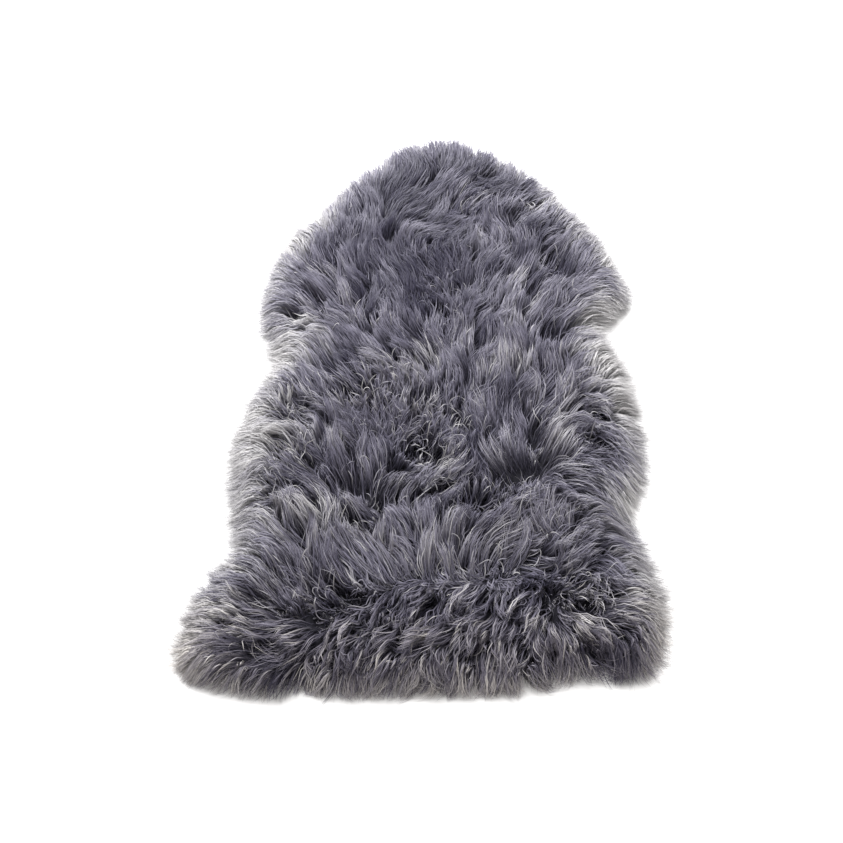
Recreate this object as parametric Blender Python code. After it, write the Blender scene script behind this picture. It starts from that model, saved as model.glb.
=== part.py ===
"""Grey sheepskin rug: one whole pelt that lies flat on the floor with its wool side up.

The tanned hide is a thin flat sheet. The fleece grows from it, stands out past its edge on every side,
and ends there in separate tapered locks, the lower of which rest on the floor.
Metres, +Z up, +Y from the tail to the neck. The origin is under the middle of the rug, on the floor.
"""

import math
import random

import bmesh
import bpy
from mathutils import Vector, geometry, kdtree, noise

NAME = "sheepskin"
SEED = 11

# Driving sizes
RUG_LENGTH = 0.960  # tail to neck, over the tips of the wool
RUG_WIDTH = 0.618  # across the hind legs, over the tips
SPINE_REACH = 0.190  # half the stretch of backbone that the sides are measured square to
HIDE_THICKNESS = 0.002
LOCK_PITCH = 0.0152  # along the rim
WOOL_PITCH = 0.0150  # between the points of the fleece's upper surface
RIM_CLEARANCE = 0.0110  # from those points to the edge's innermost ring
WOOL_HEIGHT = 0.0560  # mean height of the fleece, away from its rim
CROWN_WIDTH = 0.0700  # over which the fleece rises to that height

# Lumps: the wool stands in tufts, longer than they are wide
TUFT_WIDTH = 0.040
TUFT_LENGTH = 0.054
TUFT_RELIEF = 0.0190
TUFT_MEAN = 0.60  # mean height of a tuft's dome, taken off so that tufts leave WOOL_HEIGHT as it is
SIDE_DRIFT = 0.0030  # how far a point of the surface strays sideways
DRIFT_WIDTH = 0.0110  # over which that drift changes
SWELL_WIDTH = 0.160  # of the slow rise and fall of the whole fleece
SWELL_RELIEF = 0.0050
RIM_DRIFT = 0.0050  # how far the fleece's rim strays in and out

# Locks at the rim
LOCK_STEPS = 3
LOCK_YAW = math.radians(16)  # how far neighbouring locks turn together
YAW_WIDTH = 0.070  # over which that turn changes
LOCK_STRAY = math.radians(5)  # how far each turns by itself

# Where the tips of the wool end, in order from the tail, up the right side and down the left
OUTLINE = (
    # place, x, y
    ("tail", -0.001, -0.480),
    ("right rump", 0.149, -0.475),
    ("right hock", 0.257, -0.462),
    ("right toe", 0.304, -0.420),
    ("right hip", 0.308, -0.347),
    ("right flank", 0.283, -0.252),
    ("right loin", 0.284, -0.202),
    ("right belly", 0.300, -0.107),
    ("right rib", 0.291, -0.012),
    ("right elbow", 0.267, 0.066),
    ("right armpit", 0.265, 0.096),
    ("right knee", 0.290, 0.138),
    ("right foreleg", 0.292, 0.193),
    ("right shoulder", 0.264, 0.276),
    ("right nape", 0.212, 0.351),
    ("right crest", 0.139, 0.431),
    ("neck", 0.024, 0.480),
    ("left crest", -0.079, 0.432),
    ("left nape", -0.139, 0.338),
    ("left shoulder", -0.194, 0.268),
    ("left foreleg", -0.223, 0.188),
    ("left knee", -0.227, 0.124),
    ("left armpit", -0.201, 0.078),
    ("left rib", -0.221, 0.013),
    ("left belly", -0.258, -0.122),
    ("left flank", -0.245, -0.237),
    ("left hip", -0.272, -0.320),
    ("left toe", -0.308, -0.410),
    ("left hock", -0.263, -0.465),
    ("left rump", -0.131, -0.476),
)

# The section through the edge, from the hide's underside out, up and over to the fleece's top
EDGE = (
    # place, inset from the tips, height
    ("hide underside", 0.040, 0.0000),
    ("hide edge", 0.040, HIDE_THICKNESS),
    ("lower roots", 0.021, 0.0030),
    ("middle roots", 0.016, 0.0145),
    ("upper roots", 0.019, 0.0280),
    ("shoulder", 0.029, 0.0410),
    ("crown", 0.047, 0.0490),
)
LAST_OF_HIDE = 1  # the rings up to this one keep the hide's even edge
MIDDLE_ROOTS = 3
LOWER_BAND = 2  # the faces above "lower roots", which the lower locks grow from
UPPER_BAND = 3  # the faces above "middle roots"

# Rim locks: one kind on each band. Widths and depths are shares of the root's, step by step to the tip.
LOCKS = {
    # band: reach past the tip line, its variation, height of the tip, bend, widths, depths
    LOWER_BAND: (0.001, 0.005, 0.0012, 0.5, (0.96, 0.74, 0.16), (0.74, 0.48, 0.22)),
    UPPER_BAND: (-0.001, 0.005, 0.0130, 1.5, (0.94, 0.70, 0.16), (0.78, 0.52, 0.24)),
}

# Long soft forms of the fleece, each along a line from one point to another
FORMS = (
    # name, x and y of one end, x and y of the other, half width, rise
    ("parting over the right loin", 0.085, -0.220, 0.155, -0.156, 0.016, -0.013),
    ("parting over the left loin", -0.090, -0.224, -0.040, -0.196, 0.015, -0.011),
    ("ridge behind the partings", -0.205, -0.218, 0.060, -0.242, 0.022, 0.006),
    ("ridge on the right hip", 0.090, -0.238, 0.225, -0.178, 0.020, 0.006),
    ("hollow in the middle of the back", -0.045, -0.076, 0.012, -0.141, 0.017, -0.010),
    ("hollow on the left ribs", -0.180, -0.036, -0.160, -0.066, 0.016, -0.009),
    ("hollow between the shoulders", 0.030, 0.099, 0.050, 0.074, 0.018, -0.006),
    ("crease on the right shoulder", 0.140, 0.229, 0.175, 0.074, 0.015, -0.007),
    ("crease behind the right foreleg", 0.225, 0.104, 0.262, 0.122, 0.018, -0.010),
    ("gaps over the left rump", -0.235, -0.351, -0.105, -0.336, 0.015, -0.009),
    ("gaps over the right rump", -0.030, -0.324, 0.235, -0.306, 0.015, -0.009),
    ("full wool along the tail", -0.240, -0.411, 0.255, -0.401, 0.028, 0.004),
)


def clear_scene():
    """Removes whatever the file starts with."""
    for found in list(bpy.data.objects):
        bpy.data.objects.remove(found, do_unlink=True)


def wool_material():
    """The slate grey of the dyed wool, which has no gloss."""
    material = bpy.data.materials.new("wool")
    material.use_nodes = True
    shader = material.node_tree.nodes["Principled BSDF"]
    shader.inputs["Base Color"].default_value = (0.130, 0.124, 0.150, 1.0)
    shader.inputs["Roughness"].default_value = 0.90
    shader.inputs["Metallic"].default_value = 0.0
    return material


def closed_curve(points, steps=24):
    """A smooth closed curve through the points, as Vectors; each span is a Catmull-Rom one."""
    curve = []
    count = len(points)
    for i in range(count):
        before, start, end, after = (points[(i + k) % count] for k in (-1, 0, 1, 2))
        for step in range(steps):
            t = step / steps
            curve.append(
                0.5
                * (
                    2.0 * start
                    + (end - before) * t
                    + (2.0 * before - 5.0 * start + 4.0 * end - after) * t**2
                    + (3.0 * start - before - 3.0 * end + after) * t**3
                )
            )
    return curve


def even_points(curve, pitch):
    """Points at an even spacing of about one pitch along a closed curve, an even number of them."""
    lengths = [0.0]
    closed = curve + curve[:1]
    for start, end in zip(closed, closed[1:]):
        lengths.append(lengths[-1] + (end - start).length)
    count = 2 * round(lengths[-1] / pitch / 2)
    points = []
    span = 0
    for i in range(count):
        target = lengths[-1] * i / count
        while lengths[span + 1] < target:
            span += 1
        t = (target - lengths[span]) / (lengths[span + 1] - lengths[span])
        points.append(closed[span].lerp(closed[span + 1], t))
    return points


def tip_line():
    """The line where the wool ends: the outline's curve, brought to the rug's length and width."""
    curve = closed_curve([Vector((x, y, 0.0)) for _, x, y in OUTLINE])
    xs = [point.x for point in curve]
    ys = [point.y for point in curve]
    middle = Vector(((max(xs) + min(xs)) / 2, (max(ys) + min(ys)) / 2, 0.0))
    across = RUG_WIDTH / (max(xs) - min(xs))
    along = RUG_LENGTH / (max(ys) - min(ys))
    sized = [Vector(((p.x - middle.x) * across, (p.y - middle.y) * along, 0.0)) for p in curve]
    return even_points(sized, LOCK_PITCH)


def toward_spine(point):
    """The level direction from a point of the rim to the backbone."""
    anchor = Vector((0.0, max(-SPINE_REACH, min(SPINE_REACH, point.y)), 0.0))
    return (anchor - Vector((point.x, point.y, 0.0))).normalized()


def edge_ring(rim, level):
    """One ring of the edge's section: the rim's points, moved in toward the backbone and up."""
    _, inset, height = EDGE[level]
    ring = []
    for point in rim:
        stray = 0.0
        if level > LAST_OF_HIDE:
            stray = RIM_DRIFT * noise.noise(point / TUFT_WIDTH + Vector((0.0, 0.0, 0.4 * level)))
        ring.append(point + toward_spine(point) * (inset + stray) + Vector((0.0, 0.0, height)))
    return ring


def nearest_on_line(point, start, end):
    """The point of the stretch from start to end that lies nearest."""
    along, part = geometry.intersect_point_line(point, start, end)
    if part <= 0.0:
        return start
    return end if part >= 1.0 else along


def form_rise(point):
    """What the long forms add to the fleece's height at a point."""
    rise = 0.0
    for _, x0, y0, x1, y1, half_width, height in FORMS:
        start = Vector((x0, y0, 0.0))
        end = Vector((x1, y1, 0.0))
        away = (point - nearest_on_line(point, start, end)).length
        rise += height * math.exp(-((away / half_width) ** 2))
    return rise


def tuft_rise(point):
    """Domes of uneven tufts, with a fall between them."""
    spot = Vector((point.x / TUFT_WIDTH, point.y / TUFT_LENGTH, float(SEED)))
    distances, _ = noise.voronoi(spot)
    gap = min(1.0, distances[1] - distances[0])
    return TUFT_RELIEF * (math.sqrt(gap) - TUFT_MEAN)


def fleece_height(point, edge_distance):
    """The height of the fleece's upper surface."""
    crown = min(1.0, edge_distance / CROWN_WIDTH)
    start = EDGE[-1][2]
    level = start + (WOOL_HEIGHT - start) * math.sin(crown * math.pi / 2)
    swell = SWELL_RELIEF * noise.noise(point / SWELL_WIDTH)
    return level + swell + form_rise(point) + tuft_rise(point)


def is_inside(point, ring):
    """Whether a point lies inside a closed ring, seen from above."""
    inside = False
    for start, end in zip(ring, ring[1:] + ring[:1]):
        if (start.y > point.y) != (end.y > point.y):
            crossing = start.x + (end.x - start.x) * (point.y - start.y) / (end.y - start.y)
            inside ^= point.x < crossing
    return inside


def surface_points(ring):
    """Points of the fleece's top inside the crown ring, on a staggered grid that strays a little."""
    nearest = kdtree.KDTree(len(ring))
    for i, point in enumerate(ring):
        nearest.insert(Vector((point.x, point.y, 0.0)), i)
    nearest.balance()
    row_pitch = WOOL_PITCH * math.sqrt(0.75)  # rows of equal-sided triangles
    rows = round(RUG_LENGTH / row_pitch)
    columns = round(RUG_WIDTH / WOOL_PITCH)
    points = []
    for row in range(rows + 1):
        for column in range(columns + 1):
            shift = 0.5 * (row % 2)
            spot = Vector(
                (
                    (column + shift - columns / 2) * WOOL_PITCH,
                    (row - rows / 2) * row_pitch,
                    0.0,
                )
            )
            stray = noise.noise_vector(spot / DRIFT_WIDTH) * SIDE_DRIFT
            spot += Vector((stray.x, stray.y, 0.0))
            distance = nearest.find(spot)[2]
            if distance > RIM_CLEARANCE and is_inside(spot, ring):
                points.append((spot, fleece_height(spot, distance)))
    return points


def add_top(mesh, crown):
    """Closes the crown ring with the fleece's lumpy upper surface."""
    inner = surface_points([vertex.co for vertex in crown])
    flat = [vertex.co.xy for vertex in crown] + [spot.xy for spot, _ in inner]
    edges = [(i, (i + 1) % len(crown)) for i in range(len(crown))]
    inside_only = 1
    apart = 1e-6
    result = geometry.delaunay_2d_cdt(flat, edges, [], inside_only, apart)
    triangles, origins = result[2], result[3]
    vertices = crown + [mesh.verts.new((spot.x, spot.y, height)) for spot, height in inner]
    for corners in triangles:
        mesh.faces.new([vertices[origins[corner][0]] for corner in corners])


def add_bands(mesh, rings):
    """The faces between neighbouring rings, band by band."""
    bands = []
    for lower, upper in zip(rings, rings[1:]):
        count = len(lower)
        band = []
        for i in range(count):
            j = (i + 1) % count
            band.append(mesh.faces.new((lower[i], lower[j], upper[j], upper[i])))
        bands.append(band)
    return bands


def grow_lock(mesh, face, kind, dice):
    """Draws one face of the rim out into a lock that tapers, bends down and ends in a small blunt tip."""
    past, variation, tip_height, bend, widths, depths = kind
    root = face.calc_center_median()
    face.normal_update()
    outward = Vector((face.normal.x, face.normal.y, 0.0)).normalized()
    side = Vector((0.0, 0.0, 1.0)).cross(outward)
    turn = LOCK_YAW * noise.noise(root / YAW_WIDTH) + dice.uniform(-LOCK_STRAY, LOCK_STRAY)
    heading = outward * math.cos(turn) + side * math.sin(turn)
    reach = EDGE[MIDDLE_ROOTS][1] + past + dice.uniform(-variation, variation)
    corners = [vertex.co - root for vertex in face.verts]
    spans = [(offset.dot(side), offset.z) for offset in corners]
    across = Vector((0.0, 0.0, 1.0)).cross(heading)
    half_depth = max(up for _, up in spans)
    for step in range(LOCK_STEPS):
        part = (step + 1) / LOCK_STEPS
        face = bmesh.ops.extrude_discrete_faces(mesh, faces=[face])["faces"][0]
        depth = half_depth * depths[step]
        fall = root.z + (tip_height - root.z) * part**bend
        centre = Vector((root.x, root.y, 0.0)) + heading * reach * part
        centre.z = max(fall, depth)
        for vertex, (width, up) in zip(face.verts, spans):
            level = Vector((0.0, 0.0, math.copysign(depth, up)))
            vertex.co = centre + across * width * widths[step] + level


def sheepskin_mesh():
    """The pelt as one closed body."""
    dice = random.Random(SEED)
    noise.seed_set(SEED)
    mesh = bmesh.new()
    rim = tip_line()
    rings = []
    for level in range(len(EDGE)):
        rings.append([mesh.verts.new(point) for point in edge_ring(rim, level)])
    bands = add_bands(mesh, rings)
    mesh.faces.new(list(reversed(rings[0])))
    add_top(mesh, rings[-1])
    for band, kind in LOCKS.items():
        for face in bands[band][band % 2 :: 2]:
            grow_lock(mesh, face, kind, dice)
    bmesh.ops.triangulate(mesh, faces=mesh.faces)
    bmesh.ops.recalc_face_normals(mesh, faces=mesh.faces)
    return mesh


def centre_on_floor(mesh):
    """Puts the middle of the rug's box over the origin and its underside on the floor."""
    xs = [vertex.co.x for vertex in mesh.verts]
    ys = [vertex.co.y for vertex in mesh.verts]
    zs = [vertex.co.z for vertex in mesh.verts]
    middle = Vector(((max(xs) + min(xs)) / 2, (max(ys) + min(ys)) / 2, min(zs)))
    bmesh.ops.translate(mesh, verts=mesh.verts, vec=-middle)


def main():
    """Builds the rug in a collection of its own."""
    clear_scene()
    collection = bpy.data.collections.new("sheepskin rug")
    bpy.context.scene.collection.children.link(collection)
    mesh = sheepskin_mesh()
    centre_on_floor(mesh)
    data = bpy.data.meshes.new(NAME)
    mesh.to_mesh(data)
    mesh.free()
    data.materials.append(wool_material())
    collection.objects.link(bpy.data.objects.new(NAME, data))


main()
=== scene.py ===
"""Looks of the sheepskin rug: its suede hide, its matted underwool and the long wool, wisp by wisp.

Metres, +Z up, +Y from the tail to the neck, with the origin on the floor under the middle of the rug.
"""

import math
from typing import NamedTuple

import bmesh
import bpy
import numpy as np
from bpy.props import FloatProperty, FloatVectorProperty, IntProperty, PointerProperty
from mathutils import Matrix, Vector, kdtree


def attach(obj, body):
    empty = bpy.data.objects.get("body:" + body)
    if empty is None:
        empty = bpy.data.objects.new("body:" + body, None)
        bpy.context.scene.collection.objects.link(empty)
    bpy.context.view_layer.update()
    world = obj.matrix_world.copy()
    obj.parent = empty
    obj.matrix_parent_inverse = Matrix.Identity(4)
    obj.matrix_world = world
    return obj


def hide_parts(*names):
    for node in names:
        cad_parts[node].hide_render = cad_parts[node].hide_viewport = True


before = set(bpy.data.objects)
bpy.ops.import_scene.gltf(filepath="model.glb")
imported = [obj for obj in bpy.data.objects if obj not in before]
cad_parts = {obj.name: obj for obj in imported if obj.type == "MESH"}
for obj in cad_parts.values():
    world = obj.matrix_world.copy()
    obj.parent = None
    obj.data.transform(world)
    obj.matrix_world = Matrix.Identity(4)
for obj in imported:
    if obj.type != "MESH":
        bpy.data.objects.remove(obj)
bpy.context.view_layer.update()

bl_info = {
    "name": "Sheepskin rug",
    "version": (1, 0, 0),
    "blender": (4, 5, 0),
    "location": "3D View > Sidebar > Sheepskin",
    "description": "Builds a long-wool sheepskin rug and a plain studio round it",
    "category": "Object",
}

CAD_NODE = "sheepskin"
BODY = "root"

# Where the tips of the wool end, in order from the tail, up the right side and down the left
OUTLINE = (
    # x, y
    (-0.001, -0.455),  # tail
    (0.110, -0.455),
    (0.164, -0.444),
    (0.205, -0.434),
    (0.256, -0.437),
    (0.297, -0.419),  # right hind toe
    (0.317, -0.337),
    (0.295, -0.248),
    (0.279, -0.202),
    (0.305, -0.107),  # right belly
    (0.300, -0.006),
    (0.289, 0.059),
    (0.275, 0.097),
    (0.259, 0.140),
    (0.306, 0.196),  # right foreleg
    (0.277, 0.284),
    (0.223, 0.363),
    (0.154, 0.446),
    (0.027, 0.507),  # neck
    (-0.084, 0.443),
    (-0.160, 0.351),
    (-0.211, 0.280),
    (-0.233, 0.189),  # left foreleg
    (-0.223, 0.123),
    (-0.206, 0.077),
    (-0.236, 0.013),
    (-0.251, -0.042),
    (-0.260, -0.122),  # left belly
    (-0.247, -0.237),
    (-0.292, -0.316),
    (-0.314, -0.412),  # left hind toe
    (-0.275, -0.444),
    (-0.240, -0.452),
    (-0.205, -0.459),
    (-0.176, -0.460),
    (-0.154, -0.447),
    (-0.128, -0.456),
    (-0.095, -0.457),
)

# Long soft forms of the fleece, each along a line from one point to another
FORMS = (
    # x and y of one end, x and y of the other, half width, rise
    (0.080, -0.222, 0.150, -0.176, 0.013, -0.007),  # parting over the right loin
    (-0.090, -0.230, -0.040, -0.206, 0.013, -0.006),  # parting over the left loin
    (-0.205, -0.218, 0.060, -0.242, 0.022, 0.003),  # ridge behind the partings
    (0.090, -0.238, 0.225, -0.178, 0.020, 0.006),  # ridge on the right hip
    (-0.045, -0.076, 0.012, -0.141, 0.017, -0.010),  # hollow in the middle of the back
    (-0.180, -0.036, -0.160, -0.066, 0.016, -0.009),  # hollow on the left ribs
    (0.030, 0.099, 0.050, 0.074, 0.018, -0.006),  # hollow between the shoulders
    (0.140, 0.229, 0.175, 0.074, 0.015, -0.007),  # crease on the right shoulder
    (0.225, 0.104, 0.262, 0.122, 0.018, -0.010),  # crease behind the right foreleg
    (-0.235, -0.351, -0.105, -0.336, 0.015, -0.009),  # gaps over the left rump
    (-0.030, -0.324, 0.235, -0.306, 0.015, -0.009),  # gaps over the right rump
    (-0.240, -0.411, 0.255, -0.401, 0.028, 0.004),  # full wool along the tail
)

# Places where the wool opens and its dark depth shows, each along a line between two points
HOLES = (
    # x and y of one end, x and y of the other, half width
    (-0.103, -0.236, -0.072, -0.243, 0.010),
    (-0.059, -0.209, -0.038, -0.201, 0.009),
    (0.016, -0.193, 0.032, -0.182, 0.010),
    (0.053, -0.211, 0.101, -0.220, 0.010),
    (0.113, -0.181, 0.147, -0.162, 0.011),
    (0.020, -0.308, 0.023, -0.312, 0.006),
    (0.044, -0.305, 0.056, -0.308, 0.006),
    (-0.202, -0.192, -0.167, -0.184, 0.008),
    (-0.213, -0.201, -0.203, -0.217, 0.005),
    (-0.195, -0.058, -0.183, -0.068, 0.007),
    (-0.169, -0.046, -0.162, -0.075, 0.007),
    (-0.154, -0.136, -0.139, -0.149, 0.008),
    (-0.108, -0.185, -0.078, -0.192, 0.010),
    (-0.041, -0.156, 0.000, -0.166, 0.007),
    (0.172, 0.081, 0.200, 0.070, 0.010),
    (0.182, 0.221, 0.207, 0.199, 0.010),
    (0.226, -0.097, 0.244, -0.107, 0.010),
    (0.236, -0.051, 0.247, -0.060, 0.006),
    (-0.096, -0.345, -0.071, -0.355, 0.011),
    (-0.122, -0.363, -0.101, -0.377, 0.008),
    (-0.142, -0.377, -0.124, -0.389, 0.007),
    (-0.074, -0.383, -0.049, -0.399, 0.010),
    (-0.036, -0.358, -0.027, -0.374, 0.007),
    (-0.206, -0.361, -0.177, -0.367, 0.007),
    (-0.195, -0.412, -0.185, -0.432, 0.007),
    (0.163, -0.340, 0.172, -0.352, 0.006),
    (0.200, -0.355, 0.213, -0.363, 0.009),
    (0.183, -0.320, 0.197, -0.331, 0.007),
    (0.229, -0.334, 0.238, -0.343, 0.007),
    (0.013, -0.354, 0.023, -0.372, 0.006),
    (0.042, -0.373, 0.055, -0.380, 0.006),
    (0.070, -0.419, 0.073, -0.480, 0.005),
    (0.212, -0.423, 0.236, -0.433, 0.009),
    (0.166, -0.433, 0.180, -0.448, 0.009),
    (-0.128, -0.412, -0.121, -0.452, 0.005),
    (-0.025, -0.116, -0.014, -0.128, 0.009),
    (0.000, -0.108, 0.012, -0.135, 0.009),
    (-0.100, -0.020, -0.094, -0.034, 0.006),
    (0.151, -0.108, 0.160, -0.121, 0.006),
    (0.022, 0.134, 0.033, 0.115, 0.007),
    (-0.193, 0.126, -0.176, 0.112, 0.005),
    (-0.160, 0.151, -0.146, 0.141, 0.006),
    (-0.262, -0.383, -0.241, -0.391, 0.005),
    (-0.122, -0.394, -0.129, -0.410, 0.007),
    (-0.196, -0.429, -0.181, -0.432, 0.006),
    (0.196, -0.367, 0.203, -0.372, 0.005),
    (0.090, 0.392, 0.108, 0.386, 0.006),
    (0.160, 0.338, 0.175, 0.330, 0.006),
    (0.052, -0.395, 0.058, -0.425, 0.004),
    (0.125, -0.385, 0.133, -0.425, 0.004),
    (-0.020, -0.395, -0.028, -0.420, 0.005),
)

# Which way the wool is combed above the line across the rump, in degrees from +X towards +Y
FLOW = (
    # x, y, heading
    (-0.035, 0.445, 96),
    (0.045, 0.445, 90),
    (0.120, 0.410, 74),
    (0.180, 0.350, 48),
    (-0.110, 0.340, 108),
    (-0.075, 0.275, 96),
    (0.015, 0.340, 58),
    (0.090, 0.360, 24),
    (0.035, 0.295, 2),
    (0.150, 0.315, 46),
    (-0.180, 0.235, 118),
    (-0.205, 0.160, 144),
    (-0.230, 0.135, -162),
    (-0.105, 0.180, 120),
    (-0.030, 0.195, 110),
    (0.005, 0.190, 96),
    (0.050, 0.165, 122),
    (0.115, 0.270, 122),
    (0.100, 0.220, 70),
    (0.070, 0.160, 64),
    (0.220, 0.240, 62),
    (0.265, 0.235, 38),
    (0.205, 0.180, 46),
    (0.290, 0.160, -4),
    (0.305, 0.135, -24),
    (0.255, 0.140, 14),
    (0.230, 0.100, 40),
    (0.165, 0.160, 84),
    (-0.160, 0.130, 134),
    (-0.178, 0.098, 172),
    (-0.200, 0.010, 122),
    (-0.225, 0.010, 170),
    (-0.115, 0.065, 132),
    (-0.035, 0.130, 96),
    (-0.020, 0.045, 150),
    (0.000, 0.010, 122),
    (-0.100, -0.010, 138),
    (-0.125, -0.045, 132),
    (-0.195, -0.080, -174),
    (-0.245, -0.095, -170),
    (-0.250, -0.160, -158),
    (-0.180, -0.125, 108),
    (-0.125, -0.110, 106),
    (-0.085, -0.145, 106),
    (-0.015, -0.020, 76),
    (-0.015, -0.165, 24),
    (0.025, -0.110, 58),
    (-0.160, -0.180, 158),
    (0.135, 0.085, 86),
    (0.085, 0.065, 68),
    (0.155, 0.025, 94),
    (0.215, 0.095, 50),
    (0.260, 0.045, 16),
    (0.280, -0.005, 0),
    (0.250, -0.025, -8),
    (0.295, -0.045, -14),
    (0.225, 0.010, 60),
    (0.190, -0.035, 52),
    (0.265, -0.060, -20),
    (0.275, -0.100, -38),
    (0.295, -0.145, -32),
    (0.265, -0.145, -70),
    (0.185, -0.105, 56),
    (0.150, -0.110, 80),
    (0.065, -0.085, 138),
    (0.040, -0.040, 78),
    (0.225, -0.170, -42),
    (0.105, -0.125, 102),
    (-0.230, -0.205, -176),
    (-0.245, -0.255, -172),
    (-0.210, -0.255, 116),
    (-0.160, -0.240, 110),
    (-0.120, -0.270, 104),
    (-0.170, -0.300, 120),
    (-0.105, -0.305, 132),
    (-0.235, -0.300, 138),
    (-0.260, -0.330, 160),
    (-0.055, -0.255, 112),
    (0.025, -0.255, 92),
    (0.065, -0.240, 32),
    (0.105, -0.225, 60),
    (0.180, -0.250, 86),
    (0.220, -0.260, 58),
    (0.250, -0.240, -54),
    (0.270, -0.295, -26),
    (0.125, -0.300, 10),
    (0.000, -0.300, 102),
    (0.065, -0.295, 124),
    (-0.285, -0.360, 158),
    (-0.285, -0.390, 160),
    (-0.290, -0.430, 180),
    (-0.230, -0.370, 140),
)

# The same below that line, where the wool hangs towards the tail
TAIL_FLOW = (
    # x, y, heading
    (-0.285, -0.360, 158),
    (-0.285, -0.390, 160),
    (-0.290, -0.430, 180),
    (-0.260, -0.445, -150),
    (-0.210, -0.475, -126),
    (-0.165, -0.440, -114),
    (-0.230, -0.370, 150),
    (-0.120, -0.360, -150),
    (-0.195, -0.420, -170),
    (-0.130, -0.420, -122),
    (-0.065, -0.420, -126),
    (-0.025, -0.460, -120),
    (-0.090, -0.490, -96),
    (0.005, -0.410, -110),
    (0.050, -0.430, -98),
    (0.100, -0.420, -90),
    (0.150, -0.430, -84),
    (0.070, -0.475, -82),
    (0.025, -0.380, -114),
    (0.180, -0.420, -74),
    (0.215, -0.405, -40),
    (0.250, -0.445, -56),
    (0.290, -0.415, -64),
    (0.280, -0.365, -2),
    (0.230, -0.380, -22),
    (0.295, -0.345, -6),
    (0.050, -0.345, -116),
    (0.105, -0.345, -130),
    (0.135, -0.360, -118),
)

# The line across the rump, from left to right
RUMP_LINE = (
    # x, y
    (-0.320, -0.400),
    (-0.197, -0.362),
    (-0.143, -0.378),
    (-0.081, -0.338),
    (-0.003, -0.322),
    (0.101, -0.322),
    (0.170, -0.342),
    (0.211, -0.356),
    (0.257, -0.338),
    (0.320, -0.330),
)

# Paler and darker patches of the wool: partly the dyed wool's own, partly painted light and shade
PATCHES = (
    # x, y, half width, half length, change of tone
    (0.080, 0.370, 0.075, 0.040, -0.20),
    (0.073, 0.362, 0.025, 0.028, -0.30),
    (-0.050, 0.395, 0.045, 0.055, -0.24),
    (0.140, 0.306, 0.040, 0.030, 0.22),
    (-0.045, 0.180, 0.040, 0.040, -0.12),
    (-0.098, 0.170, 0.028, 0.030, 0.14),
    (-0.166, 0.250, 0.025, 0.035, 0.34),
    (0.250, 0.215, 0.030, 0.055, 0.16),
    (0.200, 0.184, 0.045, 0.035, -0.26),
    (0.240, 0.136, 0.020, 0.025, 0.18),
    (0.122, 0.130, 0.022, 0.080, 0.12),
    (0.010, 0.130, 0.080, 0.075, -0.34),
    (0.045, 0.058, 0.110, 0.024, -0.12),
    (-0.158, 0.072, 0.026, 0.055, 0.34),
    (-0.060, 0.130, 0.040, 0.040, -0.12),
    (-0.200, 0.100, 0.026, 0.030, -0.28),
    (-0.090, 0.012, 0.026, 0.024, -0.46),
    (0.015, 0.002, 0.026, 0.024, 0.18),
    (0.120, 0.002, 0.026, 0.024, 0.34),
    (0.178, 0.000, 0.022, 0.030, -0.20),
    (0.236, 0.020, 0.025, 0.045, 0.50),
    (0.270, -0.022, 0.035, 0.033, 0.60),
    (-0.035, -0.035, 0.030, 0.022, 0.12),
    (0.062, -0.050, 0.028, 0.024, -0.16),
    (-0.140, -0.048, 0.026, 0.022, -0.28),
    (-0.190, -0.108, 0.032, 0.048, 0.60),
    (0.123, -0.072, 0.024, 0.045, -0.26),
    (0.178, -0.068, 0.028, 0.045, 0.20),
    (-0.072, -0.105, 0.040, 0.030, -0.20),
    (0.002, -0.150, 0.024, 0.020, 0.28),
    (0.172, -0.137, 0.025, 0.025, 0.28),
    (0.070, -0.125, 0.026, 0.026, -0.40),
    (0.070, -0.156, 0.030, 0.024, -0.58),
    (-0.050, -0.150, 0.028, 0.022, -0.18),
    (0.215, -0.125, 0.024, 0.032, -0.16),
    (0.270, -0.108, 0.025, 0.030, -0.26),
    (0.262, -0.162, 0.022, 0.018, 0.30),
    (0.262, -0.212, 0.028, 0.024, -0.42),
    (-0.258, -0.179, 0.020, 0.030, -0.18),
    (-0.135, -0.187, 0.032, 0.020, -0.36),
    (0.100, -0.195, 0.050, 0.020, -0.12),
    (-0.175, -0.218, 0.055, 0.022, 0.14),
    (-0.130, -0.130, 0.050, 0.035, 0.10),
    (-0.205, -0.368, 0.050, 0.026, 0.22),
    (-0.112, -0.250, 0.055, 0.022, 0.44),
    (0.055, -0.235, 0.045, 0.022, -0.22),
    (0.258, -0.246, 0.035, 0.034, -0.30),
    (0.025, -0.306, 0.060, 0.030, 0.22),
    (0.146, -0.328, 0.028, 0.018, -0.34),
    (-0.232, -0.335, 0.024, 0.022, -0.26),
    (-0.085, -0.378, 0.055, 0.030, -0.22),
    (0.000, -0.346, 0.045, 0.024, -0.34),
    (0.100, -0.352, 0.045, 0.026, -0.36),
    (0.245, -0.350, 0.045, 0.025, 0.24),
    (0.150, -0.408, 0.035, 0.028, -0.28),
    (0.200, -0.390, 0.028, 0.025, -0.20),
    (-0.268, -0.436, 0.040, 0.022, 0.18),
    (-0.172, -0.426, 0.036, 0.024, -0.56),
    (-0.045, -0.418, 0.100, 0.024, -0.24),
    (0.250, -0.415, 0.045, 0.030, -0.56),
)

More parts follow.
